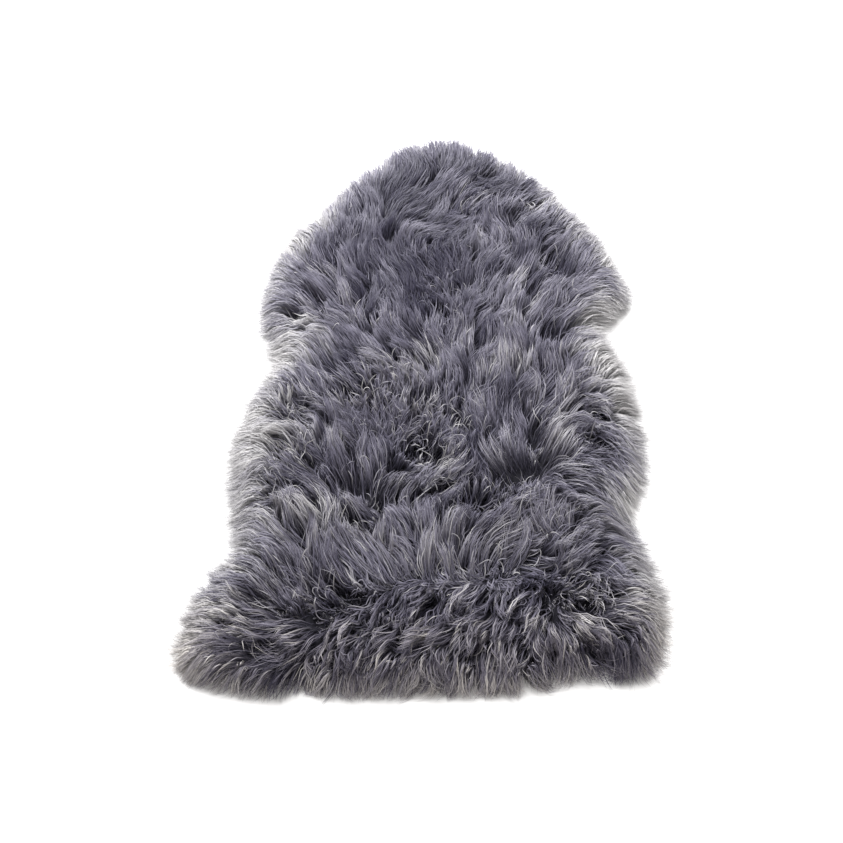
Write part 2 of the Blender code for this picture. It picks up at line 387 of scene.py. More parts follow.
# Where the wool is tangled and curly, instead of combed smooth
TANGLES = (
    # x, y, half width, half length, amount
    (-0.070, -0.055, 0.045, 0.040, 0.80),
    (-0.025, -0.015, 0.040, 0.030, 0.85),
    (0.020, -0.095, 0.080, 0.050, 0.90),
    (0.040, -0.175, 0.050, 0.035, 0.85),
    (0.120, -0.215, 0.065, 0.045, 0.80),
    (0.030, -0.318, 0.080, 0.024, 0.25),
    (0.140, -0.275, 0.055, 0.026, 0.60),
    (0.034, 0.140, 0.045, 0.060, 0.60),
    (0.080, 0.290, 0.050, 0.045, 0.55),
    (0.085, 0.345, 0.045, 0.030, 0.50),
    (0.015, 0.225, 0.035, 0.045, 0.50),
    (-0.060, 0.105, 0.030, 0.030, 0.55),
    (0.235, -0.095, 0.040, 0.040, 0.50),
    (-0.170, -0.050, 0.035, 0.030, 0.50),
    (-0.175, -0.180, 0.040, 0.030, 0.60),
    (-0.100, -0.355, 0.070, 0.035, 0.80),
    (0.160, -0.335, 0.090, 0.035, 0.75),
)


class Kind(NamedTuple):
    """One kind of wisp."""

    count: int
    steps: int
    length: float  # as seen from above
    width: float
    tuft_gather: float  # how far the tips draw together into tufts
    lock_gather: float  # and into locks
    crimp: float  # how far it waves from side to side
    lowest: float  # the layers it lies in, as shares of the fleece's height
    highest: float
    tone: float  # how much paler it is than the wool around it
    spread: float = 0.42  # of the wisps of one lock, as a share of the distance between locks
    gather_power: float = 1.1  # a low one draws the wisps together nearer their roots
    wave: float = 0.022  # length of one wave of the crimp
    front_tone: float = 0.0  # the share that is added to the tone in the hanging wool


KINDS = {
    "matted": Kind(13000, 3, 0.036, 0.0032, 0.30, 0.20, 0.0000, 0.20, 0.65, -0.26),
    "smooth": Kind(45000, 4, 0.056, 0.0012, 0.50, 0.46, 0.0005, 0.66, 1.04, 0.00),
    "tangled": Kind(
        15000, 6, 0.034, 0.0014, 0.38, 0.80, 0.0016, 0.60, 1.08, -0.05,
        spread=0.34, gather_power=0.9,
    ),
    # The rim and fringe wisps are paler: painted light on the thin wool at the edge
    "rim": Kind(13000, 5, 0.060, 0.0013, 0.25, 0.55, 0.0005, 0.02, 0.85, 0.06, front_tone=0.5),
    "fringe": Kind(13000, 4, 0.064, 0.0008, 0.05, 0.10, 0.0004, 0.02, 1.00, 0.14, front_tone=1.0),
    "hanging": Kind(
        15900, 7, 0.054, 0.0013, 0.26, 0.80, 0.0017, 0.25, 1.11, 0.02,
        spread=0.30, gather_power=0.7, wave=0.040,
    ),
    "stray": Kind(700, 9, 0.027, 0.0013, 0.00, 0.00, 0.0006, 0.96, 1.10, 0.34),
}
CLUMPED = ("hanging", "tangled")  # the kinds whose locks lie in layers of their own

# The heights between which all wisps lie
HIGHEST = 0.0765
LOWEST = 0.0003  # for the edges of a wisp
LOWEST_LINE = 0.0014  # for the line along its middle
LOWEST_STRAY = 0.0008  # by which that differs from wisp to wisp

# The grid on which the fleece is worked out: its step, and its reach to each side and along
GRID_STEP = 0.004
GRID_X = 0.360
GRID_Y = 0.540

# How the outline is measured
SPAN_STEPS = 48  # points on each span of its curve
RIM_POINTS = 1600  # points at even distances, to find the nearest of
SHEET_POINTS = 260  # the same for the hide and the underwool
SPINE_REACH = 0.190  # half the stretch of backbone that the sides are measured square to

# How far a heading of the tables above counts, as standard deviations
FLOW_WIDTH = 0.026
FLOW_LENGTH = 0.022
FLOW_FAR = 0.07
FLOW_FAR_SHARE = 0.02  # its weight so far away
RIM_FLOW = 0.38  # the share of the way out in the heading of the wool at the rim

# Heights and depths of the fleece
CROWN_POWER = 2.3  # how steeply the fleece rises from its rim
SWELL = 0.005  # of the slow and of the quick rise and fall
FORM_SHARE = 1.5  # how many times its rise in the table each form has
HOLE_DEPTH = 0.014
GAP_WIDTH = 0.01  # metres for each unit of the gap layer
LOWEST_TOP = 0.003  # of the fleece and of the underwool
UNDERWOOL_SHARE = 0.46  # of the fleece's height
UNDERWOOL_DROP = 0.004

HIDE_BOTTOM = 0.0004  # over the floor
HIDE_RINGS = 4  # steps from its edge to the backbone
UNDERWOOL_INSET = 0.034
UNDERWOOL_BOTTOM = 0.0026
UNDERWOOL_RINGS = 26
WELD = 0.0004  # vertices nearer to each other than this are joined

# The long wool is cut into these, with about as many triangles each, which stay under 200,000
WOOL_PIECES = ("wool_neck", "wool_shoulders", "wool_ribs", "wool_loin", "wool_rump")

FLOOR_RADIUS = 9.0
FLOOR_DROP = 0.0003  # under the rug
LAMPS = (
    # name, place, aim, width, power, colour
    ("overhead softbox", (-0.5, 1.5, 2.2), (0.0, 0.0, 0.0), 1.5, 140.0, (0.984, 0.981, 0.977)),
    ("front fill", (0.5, -2.4, 0.60), (0.0, -0.4, 0.0), 1.2, 13.0, (1.0, 0.93, 0.85)),
)
STUDIO_COLOUR = (1.0, 0.985, 0.978)
STUDIO_STRENGTH = 0.43
CAMERA_ELEVATION = 54.0  # degrees over the floor
CAMERA_DISTANCE = 2.4
CAMERA_AIM = (-0.001, -0.0455)
CAMERA_LENS = 72.77  # millimetres
CAMERA_SENSOR = 36.0


class RugSizes(bpy.types.PropertyGroup):
    """Sizes of the rug."""

    rug_length: FloatProperty(
        name="Rug length",
        description="From the tail to the neck, over the tips of the wool",
        default=0.960,
        min=0.5,
        unit="LENGTH",
    )
    rug_width: FloatProperty(
        name="Rug width",
        description="Across the hind legs, over the tips of the wool",
        default=0.631,
        min=0.3,
        unit="LENGTH",
    )
    wool_height: FloatProperty(
        name="Wool height",
        description="Mean height of the fleece away from its rim",
        default=0.0560,
        min=0.02,
        unit="LENGTH",
    )
    crown_width: FloatProperty(
        name="Crown width",
        description="Distance from the rim over which the fleece rises to its height",
        default=0.0700,
        min=0.02,
        unit="LENGTH",
    )
    hide_inset: FloatProperty(
        name="Hide inset",
        description="How far the hide's edge lies inside the tips of the wool",
        default=0.040,
        min=0.01,
        unit="LENGTH",
    )
    hide_thickness: FloatProperty(
        name="Hide thickness",
        description="Thickness of the tanned hide",
        default=0.0018,
        min=0.001,
        unit="LENGTH",
    )
    lock_pitch: FloatProperty(
        name="Lock pitch",
        description="Distance between neighbouring locks",
        default=0.0090,
        min=0.004,
        unit="LENGTH",
    )
    tuft_pitch: FloatProperty(
        name="Tuft pitch",
        description="Distance between neighbouring tufts",
        default=0.028,
        min=0.02,
        unit="LENGTH",
    )
    seed: IntProperty(
        name="Seed",
        description="Start of the random numbers, which makes each pelt differ",
        default=23,
        min=0,
    )


class RugColours(bpy.types.PropertyGroup):
    """Colours of the rug and of the studio."""

    dark_wool: FloatVectorProperty(
        name="Dark wool",
        description="Darkest wisps of the dyed wool",
        subtype="COLOR",
        default=(0.030, 0.0268, 0.057),
        min=0.0,
        max=1.0,
    )
    grey_wool: FloatVectorProperty(
        name="Grey wool",
        description="Main grey of the dyed wool",
        subtype="COLOR",
        default=(0.195, 0.185, 0.247),
        min=0.0,
        max=1.0,
    )
    pale_wool: FloatVectorProperty(
        name="Pale wool",
        description="Palest single hairs",
        subtype="COLOR",
        default=(0.628, 0.616, 0.620),
        min=0.0,
        max=1.0,
    )
    hide: FloatVectorProperty(
        name="Hide",
        description="Suede underside of the tanned hide",
        subtype="COLOR",
        default=(0.36, 0.32, 0.29),
        min=0.0,
        max=1.0,
    )
    floor: FloatVectorProperty(
        name="Floor",
        description="Plain pale floor",
        subtype="COLOR",
        default=(0.92, 0.92, 0.92),
        min=0.0,
        max=1.0,
    )


def smooth(low, high, value):
    """0 below low, 1 above high and a soft step between them."""
    t = np.clip((value - low) / (high - low), 0.0, 1.0)
    return t * t * (3.0 - 2.0 * t)


class Noise:
    """Smooth noise from -1 to 1 over the floor, which changes over the width given."""

    REACH = (0.5, 0.7)  # to each side of the origin and along the rug

    def __init__(self, random, width):
        self.width = width
        knots = [int(2.0 * reach / width) + 3 for reach in self.REACH]
        self.values = random.uniform(-1.0, 1.0, knots)

    def at(self, x, y):
        """The noise at points of the floor."""
        u = (x + self.REACH[0]) / self.width
        v = (y + self.REACH[1]) / self.width
        i = np.clip(np.floor(u).astype(int), 0, self.values.shape[0] - 2)
        j = np.clip(np.floor(v).astype(int), 0, self.values.shape[1] - 2)
        a = smooth(0.0, 1.0, u - i)
        b = smooth(0.0, 1.0, v - j)
        near = self.values[i, j] * (1 - a) + self.values[i + 1, j] * a
        far = self.values[i, j + 1] * (1 - a) + self.values[i + 1, j + 1] * a
        return near * (1 - b) + far * b


def closed_curve(points, steps):
    """A smooth closed curve through the points; each span is a Catmull-Rom one."""
    points = np.array(points, float)
    t = (np.arange(steps) / steps)[None, :, None]
    before, start, end, after = (
        np.roll(points, -k, axis=0)[:, None, :] for k in (-1, 0, 1, 2)
    )
    curve = 0.5 * (
        2.0 * start
        + (end - before) * t
        + (2.0 * before - 5.0 * start + 4.0 * end - after) * t * t
        + (3.0 * start - before - 3.0 * end + after) * t * t * t
    )
    return curve.reshape(-1, 2)


def tip_line(sizes):
    """The closed line on which the tips of the wool end, as points close together."""
    curve = closed_curve(OUTLINE, SPAN_STEPS)
    low = curve.min(axis=0)
    high = curve.max(axis=0)
    scale = np.array((sizes.rug_width, sizes.rug_length)) / (high - low)
    return (curve - (low + high) / 2.0) * scale


def even_line(line, count):
    """The same closed line with its points at even distances."""
    closed = np.vstack((line, line[:1]))
    along = np.concatenate(([0.0], np.cumsum(np.hypot(*np.diff(closed, axis=0).T))))
    stations = np.linspace(0.0, along[-1], count, endpoint=False)
    return np.stack([np.interp(stations, along, closed[:, k]) for k in (0, 1)], axis=1)


def to_segment(x, y, x0, y0, x1, y1):
    """Distance of points from a straight line between two ends."""
    length = max((x1 - x0) ** 2 + (y1 - y0) ** 2, 1e-9)
    t = np.clip(((x - x0) * (x1 - x0) + (y - y0) * (y1 - y0)) / length, 0.0, 1.0)
    return np.hypot(x - x0 - t * (x1 - x0), y - y0 - t * (y1 - y0))


def off_spot(x, y, spot_x, spot_y, half_width, half_length):
    """How far points lie from a soft oval spot's middle, squared: 1 on its edge."""
    return ((x - spot_x) / half_width) ** 2 + ((y - spot_y) / half_length) ** 2


def nearest_of(centres, x, y):
    """Which of the centres each point is nearest to."""
    tree = kdtree.KDTree(len(centres))
    for index, point in enumerate(centres):
        tree.insert((point[0], point[1], 0.0), index)
    tree.balance()
    return np.array([tree.find((a, b, 0.0))[1] for a, b in zip(x, y)])


class Fleece:
    """What the wool does at each place of the floor, kept on a fine grid."""

    def __init__(self, sizes, random):
        xs = np.arange(-GRID_X, GRID_X + GRID_STEP / 2, GRID_STEP)
        ys = np.arange(-GRID_Y, GRID_Y + GRID_STEP / 2, GRID_STEP)
        x, y = np.meshgrid(xs, ys, indexing="ij")
        self.layers = {}
        self.sizes = sizes
        self.find_rim(x, y)
        self.comb(x, y, random)
        self.raise_wool(x, y, random)
        self.dye_and_paint_rim_light(x, y, random)

    def find_rim(self, x, y):
        """How far inside the tips each place is, and which way is out."""
        line = even_line(tip_line(self.sizes), RIM_POINTS)
        after = np.roll(line, -1, axis=0) - np.roll(line, 1, axis=0)
        out = np.stack((after[:, 1], -after[:, 0]), axis=1)
        out /= np.hypot(*out.T)[:, None]
        flat = np.stack((x.ravel(), y.ravel()), axis=1)
        nearest = nearest_of(line, *flat.T)
        gap = flat - line[nearest]
        inset = -np.sum(gap * out[nearest], axis=1)
        side = np.where(inset < 0.0, -1.0, 1.0)
        inset = side * np.hypot(*gap.T)
        shape = x.shape
        self.layers["inset"] = inset.reshape(shape)
        self.layers["out_x"] = out[nearest, 0].reshape(shape)
        self.layers["out_y"] = out[nearest, 1].reshape(shape)

    def comb(self, x, y, random):
        """The heading of the wool, longer where it lies flatter."""
        below = np.interp(x, *zip(*RUMP_LINE)) - y
        below += 0.016 * Noise(random, 0.045).at(x, y)
        hanging = smooth(-0.022, 0.014, below)
        lean_x = np.zeros_like(x)
        lean_y = np.zeros_like(x)
        for table, share in ((FLOW, 1.0 - hanging), (TAIL_FLOW, hanging)):
            total = np.full_like(x, 1e-9)
            sum_x = np.zeros_like(x)
            sum_y = np.zeros_like(x)
            for *spot, heading in table:
                near = np.exp(-0.5 * off_spot(x, y, *spot, FLOW_WIDTH, FLOW_LENGTH))
                far = np.exp(-0.5 * off_spot(x, y, *spot, FLOW_FAR, FLOW_FAR))
                weight = near + FLOW_FAR_SHARE * far
                total += weight
                sum_x += weight * math.cos(math.radians(heading))
                sum_y += weight * math.sin(math.radians(heading))
            lean_x += share * sum_x / total
            lean_y += share * sum_y / total
        rim = RIM_FLOW * smooth(0.040, 0.0, self.layers["inset"])
        lean_x = lean_x * (1 - rim) + rim * self.layers["out_x"]
        lean_y = lean_y * (1 - rim) + rim * self.layers["out_y"]
        turn = np.radians(15.0) * Noise(random, 0.055).at(x, y)
        self.layers["lean_x"] = lean_x * np.cos(turn) - lean_y * np.sin(turn)
        self.layers["lean_y"] = lean_x * np.sin(turn) + lean_y * np.cos(turn)
        self.layers["front"] = hanging * smooth(0.32, 0.24, x) * smooth(-0.28, -0.20, x)
        self.layers["clumpy"] = smooth(0.16, -0.10, y)
        middle = smooth(-0.120, -0.060, x) * smooth(0.180, 0.120, x)
        self.layers["crossing"] = np.exp(-(((below + 0.010) / 0.030) ** 2)) * middle

    def raise_wool(self, x, y, random):
        """The heights of the fleece's top and of its matted underwool."""
        inset = self.layers["inset"]
        rim_height = 0.006 + 0.012 * smooth(-0.40, 0.0, y) + 0.018 * smooth(0.10, 0.45, y)
        rise = 1.0 - (1.0 - np.clip(inset / self.sizes.crown_width, 0.0, 1.0)) ** CROWN_POWER
        top = rim_height + (self.sizes.wool_height - rim_height) * rise
        top += rise * SWELL * Noise(random, 0.160).at(x, y)
        top += rise * SWELL * Noise(random, 0.052).at(x, y)
        for *ends, half_width, height in FORMS:
            far = to_segment(x, y, *ends)
            top += rise * FORM_SHARE * height * np.exp(-((far / half_width) ** 2))
        for *ends, half_width in HOLES:
            far = to_segment(x, y, *ends)
            top -= rise * HOLE_DEPTH * np.exp(-((far / half_width) ** 2))
        self.layers["top"] = np.maximum(top, LOWEST_TOP)
        self.layers["low"] = np.maximum(UNDERWOOL_SHARE * top - UNDERWOOL_DROP, LOWEST_TOP)
        # The wool parts where this is below 0, and over more of the rug where it is clumpy
        small = Noise(random, 0.016).at(x, y) + 0.7 * Noise(random, 0.041).at(x, y)
        gap = (small + 1.02) / 0.5 + 0.8 * (1.0 - self.layers["clumpy"])
        gap += 2.0 * smooth(0.060, 0.030, inset)
        ragged = 0.35 * Noise(random, 0.010).at(x, y)
        for *ends, half_width in HOLES:
            gap = np.minimum(gap, to_segment(x, y, *ends) / half_width - 1.0 + ragged)
        self.layers["gap"] = gap + 1.2 * smooth(0.034, 0.020, inset)
        tangle = np.zeros_like(x)
        for *spot, amount in TANGLES:
            tangle = np.maximum(tangle, amount * np.exp(-off_spot(x, y, *spot)))
        self.layers["tangle"] = tangle

    def dye_and_paint_rim_light(self, x, y, random):
        """How pale the wool is: its dyed tone, with painted light at the left and right rims."""
        tone = 0.417 + 0.06 * Noise(random, 0.110).at(x, y)
        for *spot, change in PATCHES:
            tone += change * np.exp(-off_spot(x, y, *spot))
        # Painted light: the wool near the left and right rims is paler, as where light from the pale
        # floor shines through thin wisps
        side = smooth(0.2, 0.9, np.abs(self.layers["out_x"]))
        painted_rim_light = 0.34 - 0.11 * smooth(0.05, -0.10, x)
        tone += painted_rim_light * side * smooth(0.085, 0.020, self.layers["inset"])
        tone -= 0.18 * smooth(0.02, 0.24, y) * smooth(0.02, 0.07, self.layers["inset"])
        self.layers["tone"] = tone
        self.layers["side"] = side

    def at(self, name, x, y):
        """The value of a layer at points between those of the grid."""
        grid = self.layers[name]
        u = np.clip((x + GRID_X) / GRID_STEP, 0.0, grid.shape[0] - 1.001)
        v = np.clip((y + GRID_Y) / GRID_STEP, 0.0, grid.shape[1] - 1.001)
        i = u.astype(int)
        j = v.astype(int)
        a = u - i
        b = v - j
        return (grid[i, j] * (1 - a) + grid[i + 1, j] * a) * (1 - b) + (
            grid[i, j + 1] * (1 - a) + grid[i + 1, j + 1] * a
        ) * b

    def path(self, x, y, steps, length, turn, curl, hook=0.0):
        """Where wool that grows at points lies, step by step, seen from above."""
        xs = np.empty((steps + 1, len(x)))
        ys = np.empty((steps + 1, len(x)))
        xs[0] = x
        ys[0] = y
        step = length / steps
        for k in range(steps):
            lean_x = self.at("lean_x", xs[k], ys[k])
            lean_y = self.at("lean_y", xs[k], ys[k])
            heading = np.arctan2(lean_y, lean_x) + turn + curl * (k / steps - 0.3)
            heading += hook * max(k / (steps - 1) - 0.45, 0.0)
            reach = step * np.clip(np.hypot(lean_x, lean_y) / 0.75, 0.35, 1.0)
            xs[k + 1] = xs[k] + reach * np.cos(heading)
            ys[k + 1] = ys[k] + reach * np.sin(heading)
        return xs, ys


def scattered(random, pitch):
    """Points about a pitch apart, jittered, all over the floor."""
    row = pitch * math.sqrt(0.75)  # rows of equal-sided triangles
    jitter = 0.36
    points = []
    for j in range(int(2 * GRID_Y / row)):
        for i in range(int(2 * GRID_X / pitch)):
            points.append((i * pitch + (j % 2) * pitch / 2 - GRID_X, j * row - GRID_Y))
    points = np.array(points)
    return points + random.uniform(-jitter, jitter, points.shape) * pitch


def hooks(random, curls):
    """How far tips hook round: by chance, and back against the curl of their own wool."""
    return random.normal(0.0, math.radians(70), len(curls)) - 1.8 * curls


class Locks:
    """Locks about a pitch apart, each part of a tuft."""

    def __init__(self, pelt, pitch):
        random = pelt.random
        self.pitch = pitch
        self.centres = scattered(random, pitch)
        count = len(self.centres)
        self.inside = pelt.fleece.at("inset", *self.centres.T) > 0.014
        self.tuft = nearest_of(pelt.tufts, *self.centres.T)
        self.turn = random.normal(0.0, math.radians(7), count)
        self.curl = random.normal(0.0, math.radians(16), count)
        self.length = random.uniform(0.84, 1.16, count)
        self.lift = random.uniform(-0.0045, 0.0045, count)
        self.end = random.uniform(-0.010, 0.014, count)
        self.tone = random.normal(0.0, 0.090, count)
        self.tone += np.where(random.random(count) < 0.05, 0.16, 0.0)
        self.phase = random.uniform(0.0, 2.0 * math.pi, count)
        self.hook = hooks(random, self.curl)
        self.rank = random.random(count)


class Pelt:
    """The tufts and locks that all wisps belong to."""

    def __init__(self, sizes):
        random = np.random.default_rng(sizes.seed)
        self.random = random
        self.fleece = Fleece(sizes, random)
        self.sizes = sizes
        self.tufts = scattered(random, sizes.tuft_pitch)
        count = len(self.tufts)
        self.tuft_turn = random.normal(0.0, math.radians(15), count)
        self.tuft_curl = random.normal(0.0, math.radians(30), count)
        self.tuft_hook = hooks(random, self.tuft_curl)
        self.tuft_length = random.uniform(0.80, 1.20, count)
        self.tuft_lift = random.uniform(-0.0065, 0.0055, count)
        self.tuft_tone = random.normal(0.0, 0.060, count)
        self.locks = Locks(self, sizes.lock_pitch)
        self.front_locks = Locks(self, 0.76 * sizes.lock_pitch)  # finer ones for the hanging wool


class Wisps:
    """All the wisps of one kind. Each step uses what the steps before it have found."""

    def __init__(self, pelt, name):
        self.pelt = pelt
        self.name = name
        self.kind = KINDS[name]
        self.locks = pelt.front_locks if name == "hanging" else pelt.locks
        self.lock = self.choose_locks()
        self.tuft = self.locks.tuft[self.lock]
        self.count = len(self.lock)
        self.along = (np.arange(self.kind.steps + 1) / self.kind.steps)[:, None]
        self.take_root()
        self.turn_away()
        self.lie_down()
        self.gather()
        self.stand_up()
        self.wave()
        self.tones = self.find_tones()
        roll = self.pelt.random.normal(0.0, 1.0, self.count)
        self.rolls = roll * np.radians(9.0 + 21.0 * self.clumpy)
        self.widths = self.kind.width * self.pelt.random.uniform(0.65, 1.35, self.count)

    def here(self, layer):
        """What a layer of the fleece says at the roots."""
        return self.pelt.fleece.at(layer, self.x, self.y)

    def choose_locks(self):
        """Which lock each wisp grows from."""
        fleece = self.pelt.fleece
        x, y = self.locks.centres.T
        inset = fleece.at("inset", x, y)
        tangle = smooth(0.15, 0.60, fleece.at("tangle", x, y))
        front = fleece.at("front", x, y)
        gap = fleece.at("gap", x, y)
        inner = smooth(0.028, 0.042, inset)
        weight = {
            "matted": smooth(0.036, 0.055, inset),
            "smooth": inner * (1.0 - 0.92 * front) * (1.0 - 0.85 * tangle),
            "tangled": inner * (0.05 + 0.95 * tangle) * (1.0 - 0.85 * front),
            "rim": smooth(0.024, 0.030, inset)
            * smooth(0.075, 0.050, inset)
            * (1.0 - 0.95 * front),
            "fringe": smooth(0.024, 0.028, inset)
            * smooth(0.065, 0.045, inset)
            * (1.0 + 0.15 * front),
            "hanging": smooth(0.022, 0.034, inset) * front,
            "stray": smooth(0.030, 0.050, inset)
            * (0.15 + tangle)
            * (1.0 - 0.9 * front)
            * (0.4 + 1.8 * smooth(1.2, 0.2, gap)),
        }[self.name]
        weight = weight * (0.12 + 0.88 * smooth(-0.35, 0.25, gap))
        weight = weight * self.locks.inside
        share = weight / weight.sum() * self.kind.count
        number = np.floor(share + self.pelt.random.random(len(share))).astype(int)
        return np.repeat(np.arange(len(share)), number)

    def take_root(self):
        """Where the wisps grow, and what the wool is like there."""
        pelt = self.pelt
        spread = self.locks.pitch * self.kind.spread
        self.x = self.locks.centres[self.lock, 0] + pelt.random.normal(0.0, spread, self.count)
        self.y = self.locks.centres[self.lock, 1] + pelt.random.normal(0.0, spread, self.count)
        self.inset = self.here("inset")
        self.front = self.here("front")
        self.clumpy = self.here("clumpy")
        self.calm = np.maximum(smooth(0.025, 0.075, self.inset), self.front)
        self.tangle = self.here("tangle") * (1.0 - 0.6 * self.front)
        off_axis = np.hypot(*(np.stack((self.x, self.y)) - pelt.tufts[self.tuft].T))
        off_axis = off_axis / (0.60 * pelt.sizes.tuft_pitch)
        self.off_axis = np.clip(off_axis, 0.0, 1.3) ** 2

    def turn_away(self):
        """How far tufts, locks and wisps turn and curl away from the combed flow."""
        pelt = self.pelt
        front = self.front
        tangle = self.tangle
        wild = np.where(pelt.random.random(self.count) < 0.025, 3.0, 1.0) + 0.3 * tangle
        if self.name == "stray":
            wild = np.full(self.count, 12.0)
        even = (0.4 + 0.6 * self.calm) * (1.0 - 0.45 * front) * (0.75 + 0.25 * self.clumpy)
        self.tuft_turn = pelt.tuft_turn[self.tuft] * even * (1.0 + 1.2 * tangle)
        self.tuft_curl = pelt.tuft_curl[self.tuft] * even * (1.0 + tangle)
        self.lock_turn = self.tuft_turn + self.locks.turn[self.lock] * (1.0 + 4.0 * tangle)
        self.lock_curl = self.tuft_curl + self.locks.curl[self.lock] * (1.0 + 3.4 * tangle)
        self.hook = self.locks.hook[self.lock] * (0.8 * front + 1.3 * tangle)
        self.hook = self.hook + pelt.tuft_hook[self.tuft] * front
        turn = pelt.random.normal(0.0, math.radians(5), self.count)
        curl = pelt.random.normal(0.0, math.radians(9), self.count)
        self.turn = self.lock_turn + turn * wild
        self.curl = self.lock_curl + curl * wild

    def lie_down(self):
        """The paths of the wisps as seen from above."""
        random = self.pelt.random
        calm = self.calm
        self.lengths = self.kind.length * self.pelt.tuft_length[self.tuft] ** calm
        self.lengths *= self.locks.length[self.lock]
        self.lengths *= 1.0 - 0.18 * (1.0 - self.clumpy) * calm
        own = random.uniform(0.84, 1.10, self.count)
        self.lengths *= own * (1.08 - 0.24 * self.off_axis * calm * self.clumpy)
        self.xs, self.ys = self.own_path()
        end = self.find_ends()
        often = 0.10 + 0.15 * self.front + 0.9 * (self.name == "stray")
        crosses = random.random(self.count) < often
        for _ in range(2):
            self.shorten(end, crosses)

    def own_path(self):
        """The path of each wisp from its own root."""
        return self.pelt.fleece.path(
            self.x, self.y, self.kind.steps, self.lengths, self.turn, self.curl, self.hook
        )

    def find_ends(self):
        """How far inside the tip line each wisp has to end, or outside it if below 0."""
        random = self.pelt.random
        proud = 1.0 - 0.65 * smooth(0.3, 0.8, -self.here("out_y"))
        if self.name == "fringe":
            return (0.009 - 0.034 * random.random(self.count) ** 0.8) * proud
        if self.name == "hanging":
            end = 0.013 + self.locks.end[self.lock] + 1.2 * self.pelt.tuft_lift[self.tuft]
            return end + random.uniform(-0.003, 0.003, self.count)
        return random.uniform(-0.006, 0.012, self.count) - 0.004 * proud

    def shorten(self, end, crosses):
        """Lets wisps that would pass the rim, or cross a gap, end on it."""
        steps = self.kind.steps
        to_rim = self.pelt.fleece.at("inset", self.xs, self.ys) - end[None, :]
        to_gap = GAP_WIDTH * self.pelt.fleece.at("gap", self.xs, self.ys)
        to_gap[:, crosses] = 1.0
        room = np.minimum(to_rim, to_gap)
        room[0] = np.maximum(room[0], 1e-4)
        over = room < 0.0
        passes = over.any(axis=0)
        first = np.where(passes, np.argmax(over, axis=0), steps)
        column = np.arange(self.count)
        before = room[np.maximum(first - 1, 0), column]
        after = room[first, column]
        part = np.clip(before / np.maximum(before - after, 1e-6), 0.0, 1.0)
        reach = np.where(passes, (first - 1 + part) / steps, 1.0)
        self.lengths = self.lengths * np.clip(reach, 0.15, 1.0)
        self.xs, self.ys = self.own_path()

    def gather(self):
        """Draws the wisps together into locks, and the locks into tufts."""
        fleece = self.pelt.fleece
        shape = (self.kind.steps, self.lengths)
        tuft_path = fleece.path(
            *self.pelt.tufts[self.tuft].T, *shape, self.tuft_turn, self.tuft_curl
        )
        lock_path = fleece.path(
            *self.locks.centres[self.lock].T, *shape, self.lock_turn, self.lock_curl, self.hook
        )
        self.draw_to(lock_path, self.kind.lock_gather * self.along**self.kind.gather_power)
        draw = self.kind.tuft_gather * self.along**1.3 * (0.35 + 0.65 * self.calm)
        draw = draw * (1.0 - 0.35 * self.tangle)
        self.draw_to(tuft_path, draw * (0.65 + 0.35 * self.clumpy))

    def draw_to(self, path, share):
        """Moves the wisps a share of the way to other paths."""
        self.xs += share * (path[0] - self.xs)
        self.ys += share * (path[1] - self.ys)

    def stand_up(self):
        """The heights, from the underwool up to each wisp's own layer of the fleece."""
        random = self.pelt.random
        layer = random.random(self.count)
        core = np.hypot(*(np.stack((self.x, self.y)) - self.locks.centres[self.lock].T))
        self.core = np.exp(-((core / (0.40 * self.locks.pitch)) ** 2))
        if self.name in CLUMPED:
            layer = 0.20 * layer + 0.40 * self.locks.rank[self.lock] + 0.40 * self.core
        layer = self.kind.lowest + (self.kind.highest - self.kind.lowest) * layer
        start = self.here("low") * np.minimum(layer / 0.7, 1.0) - 0.002
        self.crossing = self.here("crossing")
        start += 0.6 * self.crossing * (self.here("top") * layer - start)
        lift = self.pelt.tuft_lift[self.tuft] + self.locks.lift[self.lock] - 0.0085 * self.off_axis
        lift = lift * (0.75 + 0.25 * self.clumpy) + random.normal(0, 0.0012, self.count)
        lean = np.hypot(self.here("lean_x"), self.here("lean_y"))
        bend = np.clip(1.2 + lean, 1.2, 2.2)
        goal = self.pelt.fleece.at("top", self.xs, self.ys) * layer
        goal = goal + lift * smooth(0.02, 0.06, self.inset)
        ease = 1.0 - (1.0 - self.along) ** bend[None, :]
        self.zs = start + ease * (goal - start)

    def wave(self):
        """Crimps the wisps, from side to side and up and down."""
        random = self.pelt.random
        run = np.hypot(np.diff(self.xs, axis=0), np.diff(self.ys, axis=0))
        run = np.hypot(run, np.diff(self.zs, axis=0))
        run = np.vstack((np.zeros(self.count), np.cumsum(run, axis=0)))
        phase = self.locks.phase[self.lock] + random.normal(0.0, 0.35, self.count)
        swing = self.kind.crimp * smooth(0.0, 0.35, self.along)
        swing = swing * random.uniform(0.5, 1.3, self.count)
        heading = np.arctan2(self.ys[-1] - self.ys[0], self.xs[-1] - self.xs[0])
        wave = self.kind.wave
        across = swing * np.sin(2 * math.pi * run / wave + phase)
        self.xs += across * -np.sin(heading)
        self.ys += across * np.cos(heading)
        self.zs += 0.5 * swing * np.sin(2 * math.pi * run / (wave * 1.2) + phase + 1.6)
        lowest = LOWEST_LINE + LOWEST_STRAY * random.random(self.count)
        self.zs = np.clip(self.zs, lowest[None, :], HIGHEST)

